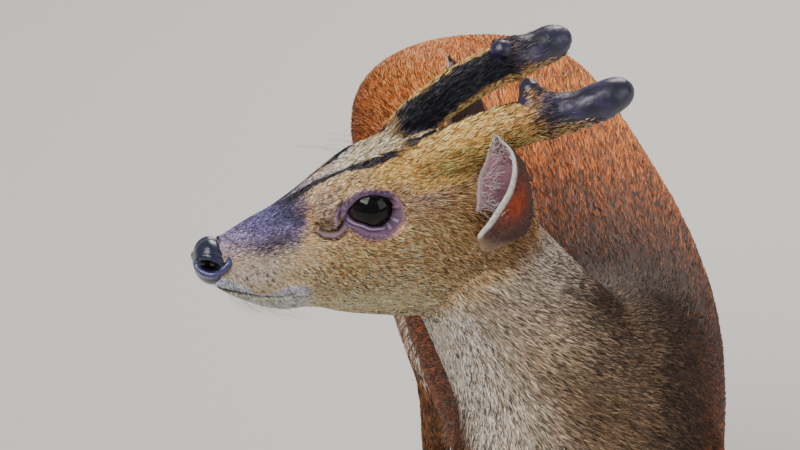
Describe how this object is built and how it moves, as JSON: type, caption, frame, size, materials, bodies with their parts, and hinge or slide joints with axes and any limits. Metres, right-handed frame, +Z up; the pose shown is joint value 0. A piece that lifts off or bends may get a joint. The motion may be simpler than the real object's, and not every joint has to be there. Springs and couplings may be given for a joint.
{
  "type": "muntjac deer model",
  "caption": "Life-size still model of a small muntjac buck with velvet antlers, standing square and looking to its right.",
  "frame": {"origin": "middle of the model's box, on the ground under the hooves", "axes": "+Z up, -Y the way the trunk faces, +X the animal's left side; the head is turned towards -X"},
  "size_m": [0.3488, 0.6016, 0.6499],
  "materials": {
    "coat": "short flat fur, chestnut above and white below",
    "face": "very short fur, golden tan with black stripes",
    "nose": "moist bare skin, blue-black",
    "eye": "wet and nearly black",
    "ear": "thin short fur outside, bare pink skin inside",
    "velvet": "satin velvet, violet black",
    "hoof": "dull dark horn"
  },
  "bodies": {
    "root": {"torso": "coat", "neck": "coat", "head": "face", "tail": "coat", "nose_pad": "nose", "eye_left": "eye", "eye_right": "eye", "ear_left": "ear", "ear_right": "ear", "antler_beam_left": "velvet", "antler_beam_right": "velvet", "brow_tine_left": "velvet", "brow_tine_right": "velvet", "foreleg_left_upper": "coat", "foreleg_left_lower": "coat", "foreleg_right_upper": "coat", "foreleg_right_lower": "coat", "hindleg_left_upper": "coat", "hindleg_left_lower": "coat", "hindleg_right_upper": "coat", "hindleg_right_lower": "coat", "hoof_foreleg_left_outer": "hoof", "hoof_foreleg_left_inner": "hoof", "hoof_foreleg_right_outer": "hoof", "hoof_foreleg_right_inner": "hoof", "hoof_hindleg_left_outer": "hoof", "hoof_hindleg_left_inner": "hoof", "hoof_hindleg_right_outer": "hoof", "hoof_hindleg_right_inner": "hoof", "dewclaw_foreleg_left_outer": "hoof", "dewclaw_foreleg_left_inner": "hoof", "dewclaw_foreleg_right_outer": "hoof", "dewclaw_foreleg_right_inner": "hoof", "dewclaw_hindleg_left_outer": "hoof", "dewclaw_hindleg_left_inner": "hoof", "dewclaw_hindleg_right_outer": "hoof", "dewclaw_hindleg_right_inner": "hoof"}
  },
  "joints": []
}
